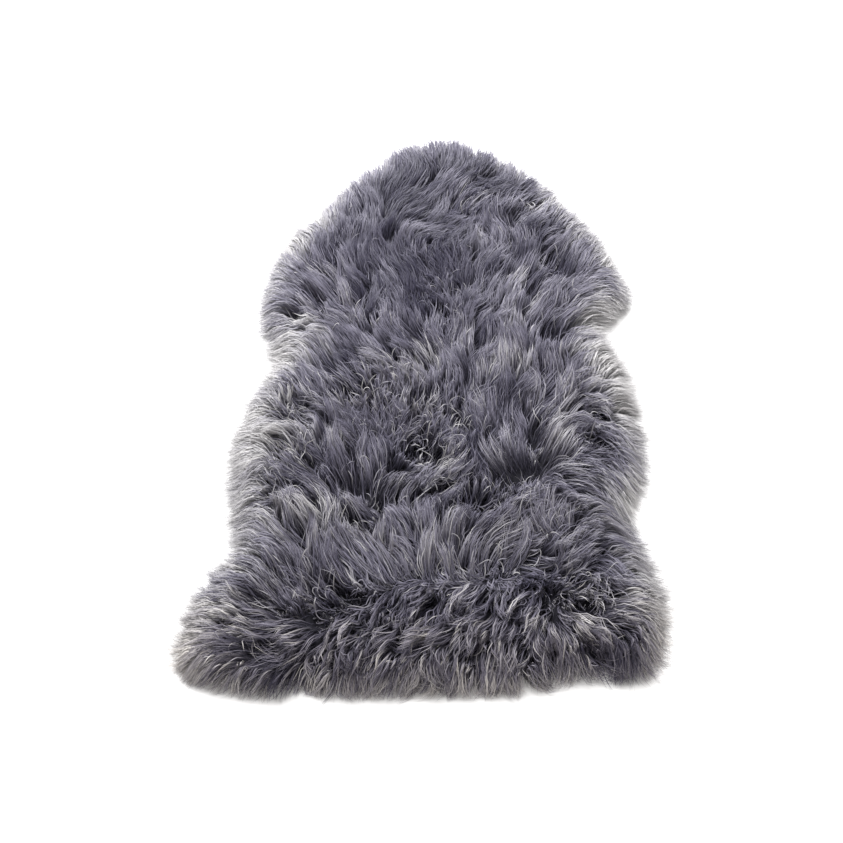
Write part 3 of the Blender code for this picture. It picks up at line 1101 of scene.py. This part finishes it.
    def find_tones(self):
        """How pale each wisp is: its own tone, with painted light and shade."""
        random = self.pelt.random
        front = self.front
        calm = self.calm
        clumpy = self.clumpy
        tone = self.here("tone")
        tone = tone + self.pelt.tuft_tone[self.tuft] * (0.5 + 0.5 * calm) * (2.0 - clumpy)
        tone += self.locks.tone[self.lock] * (1.1 - 0.2 * calm + 0.5 * front)
        own = random.normal(0.0, 0.090, self.count)
        tone += own * (0.05 + 0.2 * calm + 0.55 * clumpy + 0.5 * front)
        tone += self.kind.tone * (1.0 + self.kind.front_tone * front)
        # Painted light and shade of the locks: each lock paler in its middle, which lies on top, and
        # darker at its edges; locks that lie lower, in the shade of those above, darker
        if self.name in CLUMPED:
            depth = 0.4 + 0.6 * clumpy
            rank = self.locks.rank[self.lock] - 0.5
            tone += (0.18 * depth + 0.12 * front) * (self.core - 0.5)
            tone += (0.16 * depth + 0.38 * front) * rank - 0.045 * front
        # Painted light: wisps that end near the rim are paler, most at the left and right sides
        tip_inset = self.pelt.fleece.at("inset", self.xs[-1], self.ys[-1])
        tone += (0.03 + 0.09 * self.here("side")) * smooth(0.020, 0.0, tip_inset)
        pale = random.random(self.count) < 0.010 + 0.020 * calm - 0.02 * front
        return np.clip(tone + np.where(pale, 0.26, 0.0), 0.02, 0.98)

    def arrays(self):
        """Points, widths, tones, rolls and the painted shade at the root."""
        points = np.stack((self.xs, self.ys, self.zs), axis=2)
        # Where each wisp starts along the painted root shade: the higher, the paler its root; so at
        # the rims, on the left, at the crossing and where the wool is not clumpy
        shade = (0.43 + 0.20 * smooth(-0.06, -0.20, self.x)) * (1.0 - self.calm)
        shade = np.maximum(shade, 0.40 * self.crossing)
        shade = 0.01 + np.maximum(shade, 0.16 * (1.0 - self.clumpy))
        return points, self.widths, self.tones, self.rolls, shade


def triangles_of(steps):
    """Triangles of one wisp: two for each step but the last, and one for its tip."""
    return 2 * (steps - 1) + 1


def ribbon_arrays(points, widths, tones, roll, shade):
    """Vertices, quads, tips and map positions of flat tapering wisps, all with as many steps."""
    rings, count = points.shape[:2]
    steps = rings - 1
    tangent = np.gradient(points, axis=0)
    tangent /= np.maximum(np.linalg.norm(tangent, axis=2, keepdims=True), 1e-9)
    away = points[-1] - points[0]
    up = np.zeros_like(away)
    up[:, 2] = 1.0
    level = np.maximum(np.hypot(away[:, 0], away[:, 1]), 1e-6)[:, None]
    up[:, :2] -= 0.25 * away[:, :2] / level
    side = np.cross(tangent, up[None, :, :])
    side /= np.maximum(np.linalg.norm(side, axis=2, keepdims=True), 1e-9)
    face = np.cross(side, tangent)
    side = side * np.cos(roll)[None, :, None] + face * np.sin(roll)[None, :, None]
    s = np.arange(rings) / steps
    taper = np.interp(s, (0.0, 0.35, 0.75, 1.0), (0.85, 1.0, 0.62, 0.0))
    half = 0.5 * widths[None, :, None] * taper[:, None, None] * side
    left = points - half
    right = points + half
    # Each wisp's vertices: left and right of every ring but the last, then the tip
    body = np.stack((left[:-1], right[:-1]), axis=1).reshape(2 * steps, count, 3)
    vertices = np.concatenate((body, points[-1:]), axis=0)
    per_wisp = 2 * steps + 1
    vertices = vertices.transpose(1, 0, 2).reshape(-1, 3)
    vertices[:, 2] = np.maximum(vertices[:, 2], LOWEST)
    first = np.arange(count) * per_wisp
    quads = []
    for k in range(steps - 1):
        quads.append(np.stack([first + 2 * k + corner for corner in (0, 1, 3, 2)], axis=1))
    tips = np.stack([first + 2 * steps + corner for corner in (-2, -1, 0)], axis=1)
    # On the map, u is how pale the wisp is and v how near its tip, from where its painted root shade
    # starts. A sliver gives its faces an area.
    v = shade[:, None] + (0.99 - shade[:, None]) * s[None, :]
    sliver = 0.0008
    u_left = np.clip(tones - sliver, 0.0, 1.0)
    u_right = np.clip(tones + sliver, 0.0, 1.0)
    maps = np.empty((count, per_wisp, 2))
    for k in range(steps):
        maps[:, 2 * k, 0] = u_left
        maps[:, 2 * k + 1, 0] = u_right
        maps[:, 2 * k : 2 * k + 2, 1] = v[:, k, None]
    maps[:, -1, 0] = tones
    maps[:, -1, 1] = v[:, -1]
    return vertices, np.stack(quads, axis=1), tips, maps.reshape(-1, 2)


def mesh_from_wisps(name, parts):
    """One mesh of many wisps; parts are ribbon_arrays results."""
    offset = 0
    vertices = []
    corners = []
    sizes = []
    maps = []
    for part_vertices, quads, tips, part_maps in parts:
        vertices.append(part_vertices)
        maps.append(part_maps)
        corners.append((quads + offset).reshape(-1))
        sizes.append(np.full(quads.shape[0] * quads.shape[1], 4))
        corners.append((tips + offset).reshape(-1))
        sizes.append(np.full(len(tips), 3))
        offset += len(part_vertices)
    vertices = np.concatenate(vertices).astype(np.float32)
    maps = np.concatenate(maps).astype(np.float32)
    corners = np.concatenate(corners).astype(np.int32)
    sizes = np.concatenate(sizes).astype(np.int32)
    mesh = bpy.data.meshes.new(name)
    mesh.vertices.add(len(vertices))
    mesh.vertices.foreach_set("co", vertices.ravel())
    mesh.loops.add(len(corners))
    mesh.loops.foreach_set("vertex_index", corners)
    mesh.polygons.add(len(sizes))
    starts = np.concatenate(([0], np.cumsum(sizes)[:-1])).astype(np.int32)
    mesh.polygons.foreach_set("loop_start", starts)
    mesh.polygons.foreach_set("use_smooth", np.ones(len(sizes), bool))
    layer = mesh.uv_layers.new(name="OFBake")
    layer.uv.foreach_set("vector", maps[corners].ravel())
    mesh.update(calc_edges=True)
    mesh.validate()
    return mesh


def new_material(name, roughness):
    """A material with its Principled shader."""
    material = bpy.data.materials.new(name)
    material.use_nodes = True
    shader = material.node_tree.nodes["Principled BSDF"]
    shader.inputs["Roughness"].default_value = roughness
    return material, shader


def ramp(tree, stops, value):
    """A colour ramp node with the stops given as place and colour."""
    node = tree.nodes.new("ShaderNodeValToRGB")
    elements = node.color_ramp.elements
    while len(elements) > 1:
        elements.remove(elements[-1])
    elements[0].position = stops[0][0]
    elements[0].color = (*stops[0][1], 1.0)
    for place, colour in stops[1:]:
        elements.new(place).color = (*colour, 1.0)
    tree.links.new(value, node.inputs["Fac"])
    return node.outputs["Color"]


def mixed(tree, kind, factor, first, second):
    """A colour mix of two sockets or colours."""
    node = tree.nodes.new("ShaderNodeMix")
    node.data_type = "RGBA"
    node.blend_type = kind
    node.clamp_factor = True
    node.inputs["Factor"].default_value = factor
    for place, value in ((6, first), (7, second)):  # its sockets A and B for colours
        if isinstance(value, bpy.types.NodeSocket):
            tree.links.new(value, node.inputs[place])
        else:
            node.inputs[place].default_value = (*value, 1.0)
    return node.outputs[2]


def wool_material(colours):
    """Dyed wool: each wisp has its own tone, darkened by painted shade towards its root and lightened
    by painted light towards its tip.
    """
    material, shader = new_material("dyed wool", 0.52)
    tree = material.node_tree
    place = tree.nodes.new("ShaderNodeUVMap")
    place.uv_map = "OFBake"
    split = tree.nodes.new("ShaderNodeSeparateXYZ")
    tree.links.new(place.outputs["UV"], split.inputs["Vector"])
    dark = tuple(colours.dark_wool)
    grey = tuple(colours.grey_wool)
    pale = tuple(colours.pale_wool)
    own = ramp(tree, ((0.0, dark), (0.45, grey), (1.0, pale)), split.outputs["X"])
    # Painted shade and light along each wisp: darkest at the root, deep in the fleece where shade
    # falls, palest a little before the tip
    depth = ramp(
        tree,
        (
            (0.0, (0.080, 0.077, 0.114)),
            (0.35, (0.298, 0.291, 0.344)),
            (0.62, (0.86, 0.86, 0.86)),
            (0.84, (1.04, 1.04, 1.04)),
            (1.0, (0.84, 0.84, 0.84)),
        ),
        split.outputs["Y"],
    )
    # The wisp's own tone times that painted shade and light
    dyed = mixed(tree, "MULTIPLY", 1.0, own, depth)
    # Painted warm light: the wool is a little browner towards the tail, which faces the warm front
    # lamp
    spot = tree.nodes.new("ShaderNodeTexCoord")
    axes = tree.nodes.new("ShaderNodeSeparateXYZ")
    tree.links.new(spot.outputs["Object"], axes.inputs["Vector"])
    reach = tree.nodes.new("ShaderNodeMapRange")
    reach.inputs["From Min"].default_value = -0.32
    reach.inputs["From Max"].default_value = -0.42
    tree.links.new(axes.outputs["Y"], reach.inputs["Value"])
    painted_warm_light = mixed(tree, "MULTIPLY", 1.0, dyed, (1.00, 0.968, 0.918))
    blend = mixed(tree, "MIX", 0.5, dyed, painted_warm_light)
    tree.links.new(reach.outputs["Result"], blend.node.inputs["Factor"])
    tree.links.new(blend, shader.inputs["Base Color"])
    shader.inputs["Sheen Weight"].default_value = 0.25
    shader.inputs["Sheen Roughness"].default_value = 0.4
    shader.inputs["Specular IOR Level"].default_value = 0.4
    return material


def underwool_material(colours):
    """Matted wool deep in the fleece, where little light comes; its near-black colour is painted
    shade.
    """
    material, shader = new_material("matted underwool", 0.95)
    tree = material.node_tree
    place = tree.nodes.new("ShaderNodeTexCoord")
    noise = tree.nodes.new("ShaderNodeTexNoise")
    noise.inputs["Scale"].default_value = 90.0
    noise.inputs["Detail"].default_value = 6.0
    noise.inputs["Roughness"].default_value = 0.65
    tree.links.new(place.outputs["Object"], noise.inputs["Vector"])
    # Painted shade: the underwool is far darker than the darkest wool
    dark = tuple(0.10 * c for c in colours.dark_wool)
    less = tuple(0.35 * c for c in colours.dark_wool)
    colour = ramp(tree, ((0.30, dark), (0.72, less)), noise.outputs["Fac"])
    tree.links.new(colour, shader.inputs["Base Color"])
    bump = tree.nodes.new("ShaderNodeBump")
    bump.inputs["Strength"].default_value = 0.8
    bump.inputs["Distance"].default_value = 0.003
    tree.links.new(noise.outputs["Fac"], bump.inputs["Height"])
    tree.links.new(bump.outputs["Normal"], shader.inputs["Normal"])
    return material


def suede_material(colours):
    """Suede: mottled, with a fine nap."""
    material, shader = new_material("suede hide", 0.92)
    tree = material.node_tree
    place = tree.nodes.new("ShaderNodeTexCoord")
    mottle = tree.nodes.new("ShaderNodeTexNoise")
    mottle.inputs["Scale"].default_value = 14.0
    mottle.inputs["Detail"].default_value = 5.0
    nap = tree.nodes.new("ShaderNodeTexNoise")
    nap.inputs["Scale"].default_value = 700.0
    nap.inputs["Detail"].default_value = 3.0
    for texture in (mottle, nap):
        tree.links.new(place.outputs["Object"], texture.inputs["Vector"])
    base = tuple(colours.hide)
    colour = ramp(
        tree,
        ((0.25, tuple(0.78 * c for c in base)), (0.75, tuple(1.15 * c for c in base))),
        mottle.outputs["Fac"],
    )
    fine = ramp(tree, ((0.2, (0.82, 0.82, 0.82)), (0.8, (1.0, 1.0, 1.0))), nap.outputs["Fac"])
    tree.links.new(mixed(tree, "MULTIPLY", 1.0, colour, fine), shader.inputs["Base Color"])
    bump = tree.nodes.new("ShaderNodeBump")
    bump.inputs["Strength"].default_value = 0.35
    bump.inputs["Distance"].default_value = 0.0006
    tree.links.new(nap.outputs["Fac"], bump.inputs["Height"])
    tree.links.new(bump.outputs["Normal"], shader.inputs["Normal"])
    shader.inputs["Sheen Weight"].default_value = 0.2
    return material


def place_object(name, mesh, material):
    """An object at the origin, which rides on the rug's body and stands for the CAD solid."""
    piece = bpy.data.objects.new(name, mesh)
    bpy.context.scene.collection.objects.link(piece)
    mesh.materials.append(material)
    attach(piece, BODY)
    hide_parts(CAD_NODE)
    return piece


def spine_point(points):
    """The nearest point of the backbone's line for each point of the rim."""
    spine = np.zeros_like(points)
    spine[:, 1] = np.clip(points[:, 1], -SPINE_REACH, SPINE_REACH)
    return spine


def drawn_in(line, inset):
    """The line moved in towards the backbone."""
    toward = spine_point(line) - line
    return line + toward / np.hypot(*toward.T)[:, None] * inset


def move_ring(ring, points):
    """Moves a ring of vertices to the points."""
    for vertex, point in zip(ring, points):
        vertex.co = Vector(point)


def next_ring(build, ring):
    """Extrudes a closed ring of edges and returns its new vertices in the same order."""
    edges = []
    for index, vertex in enumerate(ring):
        edges.append(build.edges.get((vertex, ring[(index + 1) % len(ring)])))
    made = bmesh.ops.extrude_edge_only(build, edges=edges)
    new = {v for v in made["geom"] if isinstance(v, bmesh.types.BMVert)}
    answer = []
    for vertex in ring:
        for edge in vertex.link_edges:
            other = edge.other_vert(vertex)
            if other in new:
                answer.append(other)
                break
    return answer


def dome_mesh(name, edge, spine, rings, heights, underside):
    """A closed lumpy mesh: rings from its edge to the backbone over a flat underside."""
    build = bmesh.new()
    radius = 0.1  # any: the ring is moved to the edge at once
    ring = bmesh.ops.create_circle(build, segments=len(edge), radius=radius)["verts"]
    move_ring(ring, np.column_stack((edge, np.full(len(edge), underside))))
    bottom = set(ring)
    for k in range(rings + 1):
        ring = next_ring(build, ring)
        flat = edge + (spine - edge) * (k / rings)
        move_ring(ring, np.column_stack((flat, heights(flat[:, 0], flat[:, 1]))))
    bmesh.ops.contextual_create(
        build, geom=[e for e in build.edges if e.is_boundary and e.verts[0] in bottom]
    )
    bmesh.ops.remove_doubles(build, verts=build.verts, dist=WELD)
    open_edges = [e for e in build.edges if e.is_boundary]
    if open_edges:
        bmesh.ops.holes_fill(build, edges=open_edges)
    bmesh.ops.triangulate(build, faces=[f for f in build.faces if len(f.verts) > 4])
    bmesh.ops.recalc_face_normals(build, faces=build.faces)
    mesh = bpy.data.meshes.new(name)
    build.to_mesh(mesh)
    build.free()
    mesh.polygons.foreach_set("use_smooth", np.ones(len(mesh.polygons), bool))
    return mesh


def pelt_of(context):
    """The pelt that all wool operators share, made once for each set of sizes."""
    sizes = context.scene.sheepskin_sizes
    key = tuple(getattr(sizes, name) for name in RugSizes.__annotations__)
    if pelt_of.key != key:
        pelt_of.key = key
        pelt_of.pelt = Pelt(sizes)
    return pelt_of.pelt


pelt_of.key = None


class SHEEPSKIN_OT_hide(bpy.types.Operator):
    """Adds the tanned hide, a thin sheet of suede that lies flat on the floor"""

    bl_idname = "sheepskin.hide"
    bl_label = "Add the hide"

    def execute(self, context):
        sizes = context.scene.sheepskin_sizes
        line = even_line(tip_line(sizes), SHEET_POINTS)
        edge = drawn_in(line, sizes.hide_inset)

        def height(x, y):
            return np.full(len(x), HIDE_BOTTOM + sizes.hide_thickness)

        mesh = dome_mesh("hide", edge, spine_point(line), HIDE_RINGS, height, HIDE_BOTTOM)
        material = suede_material(context.scene.sheepskin_colours)
        piece = place_object("hide", mesh, material)
        return {"FINISHED"}


class SHEEPSKIN_OT_underwool(bpy.types.Operator):
    """Adds the matted wool close to the hide, on which the long wool lies"""

    bl_idname = "sheepskin.underwool"
    bl_label = "Add the underwool"

    def execute(self, context):
        pelt = pelt_of(context)
        line = even_line(tip_line(pelt.sizes), SHEET_POINTS)
        edge = drawn_in(line, UNDERWOOL_INSET)

        def height(x, y):
            return pelt.fleece.at("low", x, y)

        mesh = dome_mesh(
            "underwool", edge, spine_point(line), UNDERWOOL_RINGS, height, UNDERWOOL_BOTTOM
        )
        material = underwool_material(context.scene.sheepskin_colours)
        piece = place_object("underwool", mesh, material)
        return {"FINISHED"}


class SHEEPSKIN_OT_wool(bpy.types.Operator):
    """Adds the long wool, wisp by wisp, as pieces from the neck to the tail"""

    bl_idname = "sheepskin.wool"
    bl_label = "Add the long wool"

    def execute(self, context):
        pelt = pelt_of(context)
        material = wool_material(context.scene.sheepskin_colours)
        kinds = [Wisps(pelt, name).arrays() for name in KINDS]
        places = np.concatenate([points[0, :, 1] for points, *_ in kinds])
        costs = [np.full(len(k[1]), triangles_of(len(k[0]) - 1)) for k in kinds]
        order = np.argsort(-places)
        total = np.cumsum(np.concatenate(costs)[order])
        pieces = len(WOOL_PIECES)
        cuts = [math.inf]
        for k in range(1, pieces):
            cuts.append(places[order][np.searchsorted(total, total[-1] * k / pieces)])
        cuts.append(-math.inf)
        for name, neck_end, tail_end in zip(WOOL_PIECES, cuts, cuts[1:]):
            parts = []
            for points, *rest in kinds:
                y = points[0, :, 1]
                mine = (y < neck_end) & (y >= tail_end)
                parts.append(ribbon_arrays(points[:, mine], *(a[mine] for a in rest)))
            mesh = mesh_from_wisps(name, parts)
            piece = place_object(name, mesh, material)
            print(name, sum(len(p.vertices) - 2 for p in mesh.polygons), "triangles")
        return {"FINISHED"}


def add_floor(scene):
    """A plain round floor."""
    build = bmesh.new()
    bmesh.ops.create_circle(build, cap_ends=True, segments=96, radius=FLOOR_RADIUS)
    bmesh.ops.translate(build, verts=build.verts, vec=(0.0, 0.0, -FLOOR_DROP))
    mesh = bpy.data.meshes.new("floor")
    build.to_mesh(mesh)
    build.free()
    floor = bpy.data.objects.new("floor", mesh)
    scene.collection.objects.link(floor)
    material, shader = new_material("pale floor", 0.9)
    shader.inputs["Base Color"].default_value = (*scene.sheepskin_colours.floor, 1.0)
    shader.inputs["Specular IOR Level"].default_value = 0.1
    mesh.materials.append(material)


def add_lamp(scene, name, place, aim, width, power, colour):
    """A square soft lamp that points at its aim."""
    light = bpy.data.lights.new(name, "AREA")
    light.shape = "SQUARE"
    light.size = width
    light.energy = power
    light.color = colour
    lamp = bpy.data.objects.new(name, light)
    scene.collection.objects.link(lamp)
    lamp.location = place
    toward = Vector(aim) - Vector(place)
    lamp.rotation_euler = toward.to_track_quat("-Z", "Y").to_euler()


def add_walls(scene):
    """The even light of a studio's walls."""
    world = bpy.data.worlds.new("studio")
    world.use_nodes = True
    background = world.node_tree.nodes["Background"]
    background.inputs["Color"].default_value = (*STUDIO_COLOUR, 1.0)
    background.inputs["Strength"].default_value = STUDIO_STRENGTH
    scene.world = world
    scene.view_settings.view_transform = "Standard"


def add_camera(scene):
    """The camera, as high and as far as in the photo."""
    elevation = math.radians(CAMERA_ELEVATION)
    camera = bpy.data.cameras.new("camera")
    camera.sensor_width = CAMERA_SENSOR
    camera.lens = CAMERA_LENS
    eye = bpy.data.objects.new("camera", camera)
    scene.collection.objects.link(eye)
    eye.location = (
        CAMERA_AIM[0],
        CAMERA_AIM[1] - CAMERA_DISTANCE * math.cos(elevation),
        CAMERA_DISTANCE * math.sin(elevation),
    )
    eye.rotation_euler = (math.pi / 2 - elevation, 0.0, 0.0)
    scene.camera = eye


class SHEEPSKIN_OT_stage(bpy.types.Operator):
    """Adds the floor, the lights and the camera"""

    bl_idname = "sheepskin.stage"
    bl_label = "Add the studio"

    def execute(self, context):
        scene = context.scene
        add_floor(scene)
        for lamp in LAMPS:
            add_lamp(scene, *lamp)
        add_walls(scene)
        add_camera(scene)
        return {"FINISHED"}


class SHEEPSKIN_PT_panel(bpy.types.Panel):
    """Lists the rug's pieces in the sidebar"""

    bl_label = "Sheepskin rug"
    bl_idname = "SHEEPSKIN_PT_panel"
    bl_space_type = "VIEW_3D"
    bl_region_type = "UI"
    bl_category = "Sheepskin"

    def draw(self, context):
        layout = self.layout
        for group in (context.scene.sheepskin_sizes, context.scene.sheepskin_colours):
            for name in type(group).__annotations__:
                layout.prop(group, name)
        for operator in OPERATORS:
            layout.operator(operator.bl_idname)


OPERATORS = (
    SHEEPSKIN_OT_stage,
    SHEEPSKIN_OT_hide,
    SHEEPSKIN_OT_underwool,
    SHEEPSKIN_OT_wool,
)
CLASSES = (RugSizes, RugColours, *OPERATORS, SHEEPSKIN_PT_panel)


def register():
    """Adds the sizes, the colours, the operators and the panel to Blender."""
    for item in CLASSES:
        bpy.utils.register_class(item)
    bpy.types.Scene.sheepskin_sizes = PointerProperty(type=RugSizes)
    bpy.types.Scene.sheepskin_colours = PointerProperty(type=RugColours)


def unregister():
    """Takes them out again."""
    del bpy.types.Scene.sheepskin_colours
    del bpy.types.Scene.sheepskin_sizes
    for item in reversed(CLASSES):
        bpy.utils.unregister_class(item)


def main():
    """Builds the rug and the studio."""
    register()
    bpy.ops.sheepskin.stage()
    bpy.ops.sheepskin.hide()
    bpy.ops.sheepskin.underwool()
    bpy.ops.sheepskin.wool()


if __name__ == "__main__":
    main()
